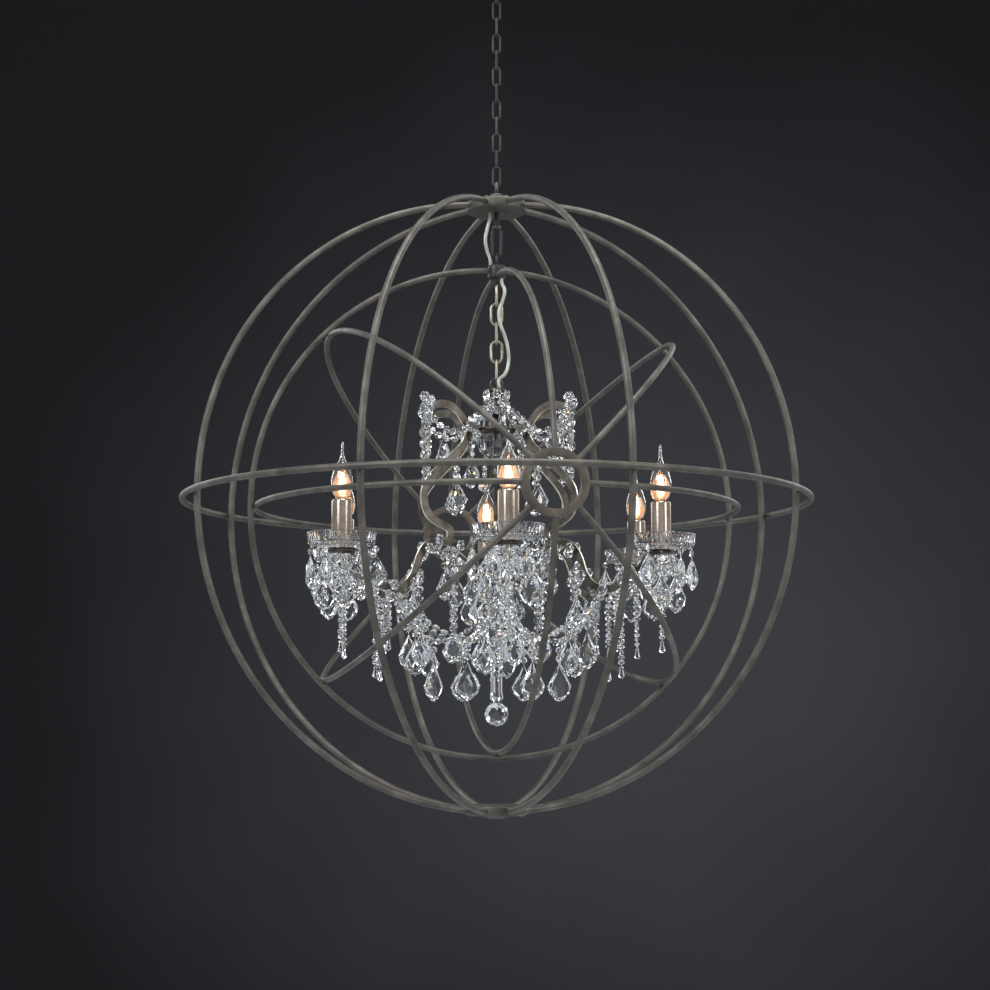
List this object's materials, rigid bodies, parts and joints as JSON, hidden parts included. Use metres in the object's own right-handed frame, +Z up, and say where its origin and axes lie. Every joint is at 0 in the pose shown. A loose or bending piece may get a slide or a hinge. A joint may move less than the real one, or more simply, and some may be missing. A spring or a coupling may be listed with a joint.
{
  "type": "orb chandelier",
  "caption": "Crystal candelabra with candle lamps, hung on chain inside a ring sphere that hangs inside a larger ring cage below a ceiling rose.",
  "frame": {"origin": "centre of the ceiling rose's top face, where it meets the ceiling", "axes": "+Z up, out of the rose into the ceiling; -Y is the front, the picture's side; +X is to the right seen from the front"},
  "size_m": [1.0052, 1.0052, 1.4112],
  "materials": {
    "iron": "warm grey-brown wrought iron, brushed",
    "dark_iron": "dark forged iron",
    "warm_silver": "warm silver, worn",
    "gunmetal": "antique gunmetal with bright edges",
    "nickel": "polished nickel",
    "crystal": "clear cut crystal",
    "bulb_glass": "clear candle lamp with a glowing filament",
    "flex_sleeving": "cream flex"
  },
  "bodies": {
    "ceiling_mounting": {"ceiling_rose": "iron"},
    "ceiling_swivel": {"ceiling_eye": "dark_iron"},
    "upper_chain": {"upper_chain": "dark_iron"},
    "outer_cage": {"cage_rib_1": "iron", "cage_rib_2": "iron", "cage_rib_3": "iron", "cage_rib_4": "iron", "cage_rib_5": "iron", "cage_rib_6": "iron", "cage_rib_7": "iron", "cage_rib_8": "iron", "cage_girdle": "iron", "cage_top_hub": "iron", "cage_bottom_hub": "iron", "hanger_rod": "dark_iron", "upper_flex": "flex_sleeving"},
    "inner_sphere": {"sphere_rib_1": "iron", "sphere_rib_2": "iron", "sphere_rib_3": "iron", "sphere_rib_4": "iron", "sphere_rib_5": "iron", "sphere_rib_6": "iron", "sphere_rib_7": "iron", "sphere_rib_8": "iron", "sphere_band": "iron", "front_disc": "iron", "back_disc": "iron", "sphere_hub": "dark_iron"},
    "lower_chain": {"lower_chain": "warm_silver", "lower_flex": "flex_sleeving"},
    "candelabra": {"stem": "gunmetal", "crown_bowl": "crystal", "basket_frame": "gunmetal", "arm_hub": "gunmetal", "bottom_drop": "crystal", "crystal_skirt": "crystal", "arm_1": "gunmetal", "arm_2": "gunmetal", "arm_3": "gunmetal", "arm_4": "gunmetal", "arm_5": "gunmetal", "arm_6": "gunmetal", "cup_1": "crystal", "cup_2": "crystal", "cup_3": "crystal", "cup_4": "crystal", "cup_5": "crystal", "cup_6": "crystal", "sleeve_1": "nickel", "sleeve_2": "nickel", "sleeve_3": "nickel", "sleeve_4": "nickel", "sleeve_5": "nickel", "sleeve_6": "nickel"},
    "bulb_1": {"bulb_1": "bulb_glass"},
    "bulb_2": {"bulb_2": "bulb_glass"},
    "bulb_3": {"bulb_3": "bulb_glass"},
    "bulb_4": {"bulb_4": "bulb_glass"},
    "bulb_5": {"bulb_5": "bulb_glass"},
    "bulb_6": {"bulb_6": "bulb_glass"}
  },
  "joints": [
    {"name": "ceiling_turn", "type": "hinge", "parent": "ceiling_mounting", "child": "ceiling_swivel", "pos_m": [0, 0, -0.054], "axis": [0, 0, 1], "range_deg": [-90, 90]},
    {"name": "chain_swing", "type": "hinge", "parent": "ceiling_swivel", "child": "upper_chain", "pos_m": [0, 0, -0.054], "axis": [1, 0, 0], "range_deg": [-6, 6]},
    {"name": "cage_swing", "type": "hinge", "parent": "upper_chain", "child": "outer_cage", "pos_m": [0, 0, -0.3861], "axis": [0, 1, 0], "range_deg": [-6, 6]},
    {"name": "sphere_turn", "type": "hinge", "parent": "outer_cage", "child": "inner_sphere", "pos_m": [0, 0, -0.50899], "axis": [0, 0, 1], "range_deg": [-20, 20]},
    {"name": "lower_chain_swing", "type": "hinge", "parent": "inner_sphere", "child": "lower_chain", "pos_m": [0, 0, -0.55944], "axis": [0.9763, 0.2164, 0], "range_deg": [-3, 3]},
    {"name": "candelabra_turn", "type": "hinge", "parent": "lower_chain", "child": "candelabra", "pos_m": [0, 0, -0.71039], "axis": [0, 0, 1], "range_deg": [-20, 20]},
    {"name": "bulb_1_lift", "type": "slide", "parent": "candelabra", "child": "bulb_1", "axis": [0, 0, 1], "range_m": [0, 0.032]},
    {"name": "bulb_2_lift", "type": "slide", "parent": "candelabra", "child": "bulb_2", "axis": [0, 0, 1], "range_m": [0, 0.032]},
    {"name": "bulb_3_lift", "type": "slide", "parent": "candelabra", "child": "bulb_3", "axis": [0, 0, 1], "range_m": [0, 0.032]},
    {"name": "bulb_4_lift", "type": "slide", "parent": "candelabra", "child": "bulb_4", "axis": [0, 0, 1], "range_m": [0, 0.032]},
    {"name": "bulb_5_lift", "type": "slide", "parent": "candelabra", "child": "bulb_5", "axis": [0, 0, 1], "range_m": [0, 0.032]},
    {"name": "bulb_6_lift", "type": "slide", "parent": "candelabra", "child": "bulb_6", "axis": [0, 0, 1], "range_m": [0, 0.032]}
  ]
}
